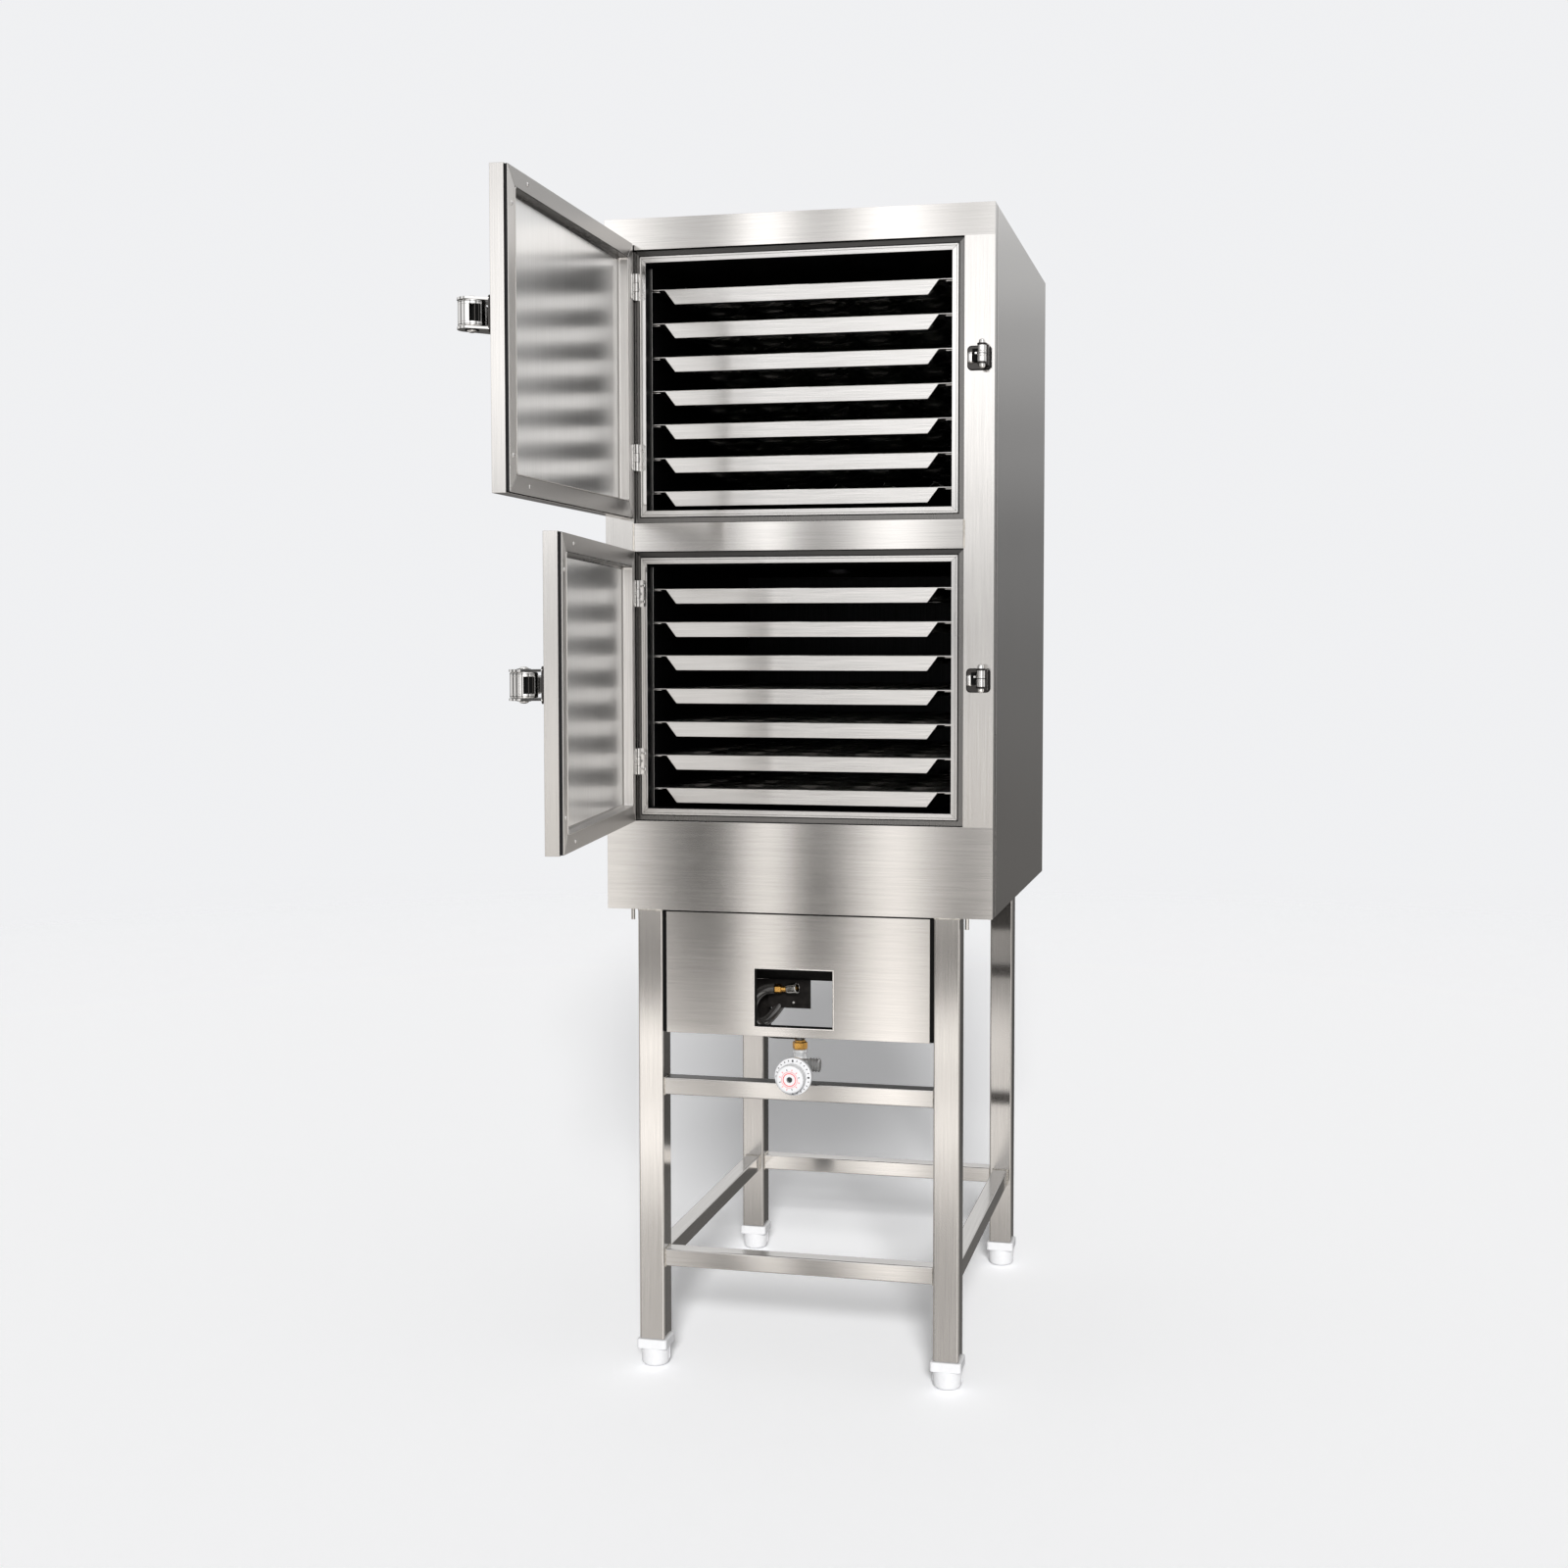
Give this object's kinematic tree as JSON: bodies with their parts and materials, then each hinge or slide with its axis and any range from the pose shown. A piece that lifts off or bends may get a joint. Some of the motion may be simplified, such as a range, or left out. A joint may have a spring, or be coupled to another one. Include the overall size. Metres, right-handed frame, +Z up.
{
  "type": "idli steamer",
  "caption": "tall stainless gas steam cabinet for idlis: hinged doors with latches, pull-out trays, water tank and burner on a square-tube stand",
  "frame": {"origin": "on the floor under the middle of the front left foot, left as seen from in front of the doors", "axes": "+X to the right along the front, +Y from the doors to the back, +Z up; the front plane of the cabinet is at y = -0.019 and its middle at x = 0.22"},
  "size_m": [0.5895, 1.1064, 1.682],
  "materials": {
    "brushed_steel": "brushed stainless sheet and tube",
    "chamber_steel": "plain stainless sheet, dark with steam",
    "bright_steel": "fine brushed stainless sheet",
    "chrome": "polished chrome plate",
    "black_rubber": "black rubber",
    "white_plastic": "white moulded plastic",
    "black_iron": "black, heat-stained",
    "grey_pipe": "dark grey, satin",
    "brass": "machined brass",
    "grey_casting": "grey die casting"
  },
  "bodies": {
    "cabinet": {"outer_shell": "brushed_steel", "front_frame": "brushed_steel", "front_left_leg": "brushed_steel", "front_right_leg": "brushed_steel", "back_left_leg": "brushed_steel", "back_right_leg": "brushed_steel", "front_upper_rail": "brushed_steel", "front_lower_rail": "brushed_steel", "back_lower_rail": "brushed_steel", "left_lower_rail": "brushed_steel", "right_lower_rail": "brushed_steel", "burner_cover": "brushed_steel", "upper_chamber": "chamber_steel", "lower_chamber": "chamber_steel", "upper_tray_rack": "chamber_steel", "lower_tray_rack": "chamber_steel", "upper_top_hinge_frame_leaf": "chrome", "upper_bottom_hinge_frame_leaf": "chrome", "lower_top_hinge_frame_leaf": "chrome", "lower_bottom_hinge_frame_leaf": "chrome", "upper_strike": "chrome", "lower_strike": "chrome", "front_left_foot": "white_plastic", "front_right_foot": "white_plastic", "back_left_foot": "white_plastic", "back_right_foot": "white_plastic", "burner": "black_iron", "burner_shroud": "black_iron", "gas_pipe": "grey_pipe", "brass_jet": "brass", "regulator_body": "grey_casting"},
    "upper_door": {"upper_door_pan": "brushed_steel", "upper_door_gasket": "black_rubber", "upper_door_liner": "brushed_steel", "upper_latch_bracket": "chrome", "upper_top_hinge_door_leaf": "chrome", "upper_bottom_hinge_door_leaf": "chrome"},
    "upper_latch": {"upper_latch_lever": "chrome"},
    "upper_tray_1": {"upper_tray_1": "bright_steel"},
    "upper_tray_2": {"upper_tray_2": "bright_steel"},
    "upper_tray_3": {"upper_tray_3": "bright_steel"},
    "upper_tray_4": {"upper_tray_4": "bright_steel"},
    "upper_tray_5": {"upper_tray_5": "bright_steel"},
    "upper_tray_6": {"upper_tray_6": "bright_steel"},
    "upper_tray_7": {"upper_tray_7": "bright_steel"},
    "lower_door": {"lower_door_pan": "brushed_steel", "lower_door_gasket": "black_rubber", "lower_door_liner": "brushed_steel", "lower_latch_bracket": "chrome", "lower_top_hinge_door_leaf": "chrome", "lower_bottom_hinge_door_leaf": "chrome"},
    "lower_latch": {"lower_latch_lever": "chrome"},
    "lower_tray_1": {"lower_tray_1": "bright_steel"},
    "lower_tray_2": {"lower_tray_2": "bright_steel"},
    "lower_tray_3": {"lower_tray_3": "bright_steel"},
    "lower_tray_4": {"lower_tray_4": "bright_steel"},
    "lower_tray_5": {"lower_tray_5": "bright_steel"},
    "lower_tray_6": {"lower_tray_6": "bright_steel"},
    "lower_tray_7": {"lower_tray_7": "bright_steel"},
    "dial": {"regulator_dial": "white_plastic"}
  },
  "joints": [
    {"name": "upper_door_hinge", "type": "hinge", "parent": "cabinet", "child": "upper_door", "pos_m": [-0.0173, -0.0162, 1.2515], "axis": [0, 0, -1], "range_deg": [-89.7, 5.3]},
    {"name": "upper_latch_pivot", "type": "hinge", "parent": "upper_door", "child": "upper_latch", "pos_m": [-0.06651, -0.49156, 1.4675], "axis": [0, 0, 1], "range_deg": [0, 60]},
    {"name": "lower_door_hinge", "type": "hinge", "parent": "cabinet", "child": "lower_door", "pos_m": [-0.0173, -0.0162, 0.8105], "axis": [0, 0, -1], "range_deg": [-82, 13]},
    {"name": "lower_latch_pivot", "type": "hinge", "parent": "lower_door", "child": "lower_latch", "pos_m": [-0.00238, -0.49387, 1.019], "axis": [0, 0, 1], "range_deg": [0, 60]},
    {"name": "upper_tray_1_slide", "type": "slide", "parent": "cabinet", "child": "upper_tray_1", "axis": [0, -1, 0], "range_m": [0, 0.4]},
    {"name": "upper_tray_2_slide", "type": "slide", "parent": "cabinet", "child": "upper_tray_2", "axis": [0, -1, 0], "range_m": [0, 0.4]},
    {"name": "upper_tray_3_slide", "type": "slide", "parent": "cabinet", "child": "upper_tray_3", "axis": [0, -1, 0], "range_m": [0, 0.4]},
    {"name": "upper_tray_4_slide", "type": "slide", "parent": "cabinet", "child": "upper_tray_4", "axis": [0, -1, 0], "range_m": [0, 0.4]},
    {"name": "upper_tray_5_slide", "type": "slide", "parent": "cabinet", "child": "upper_tray_5", "axis": [0, -1, 0], "range_m": [0, 0.4]},
    {"name": "upper_tray_6_slide", "type": "slide", "parent": "cabinet", "child": "upper_tray_6", "axis": [0, -1, 0], "range_m": [0, 0.4]},
    {"name": "upper_tray_7_slide", "type": "slide", "parent": "cabinet", "child": "upper_tray_7", "axis": [0, -1, 0], "range_m": [0, 0.4]},
    {"name": "lower_tray_1_slide", "type": "slide", "parent": "cabinet", "child": "lower_tray_1", "axis": [0, -1, 0], "range_m": [0, 0.13]},
    {"name": "lower_tray_2_slide", "type": "slide", "parent": "cabinet", "child": "lower_tray_2", "axis": [0, -1, 0], "range_m": [0, 0.13]},
    {"name": "lower_tray_3_slide", "type": "slide", "parent": "cabinet", "child": "lower_tray_3", "axis": [0, -1, 0], "range_m": [0, 0.13]},
    {"name": "lower_tray_4_slide", "type": "slide", "parent": "cabinet", "child": "lower_tray_4", "axis": [0, -1, 0], "range_m": [0, 0.13]},
    {"name": "lower_tray_5_slide", "type": "slide", "parent": "cabinet", "child": "lower_tray_5", "axis": [0, -1, 0], "range_m": [0, 0.13]},
    {"name": "lower_tray_6_slide", "type": "slide", "parent": "cabinet", "child": "lower_tray_6", "axis": [0, -1, 0], "range_m": [0, 0.13]},
    {"name": "lower_tray_7_slide", "type": "slide", "parent": "cabinet", "child": "lower_tray_7", "axis": [0, -1, 0], "range_m": [0, 0.13]},
    {"name": "dial_turn", "type": "hinge", "parent": "cabinet", "child": "dial", "pos_m": [0.2205, -0.0443, 0.4495], "axis": [0, 1, 0], "range_deg": [0, 270]}
  ]
}
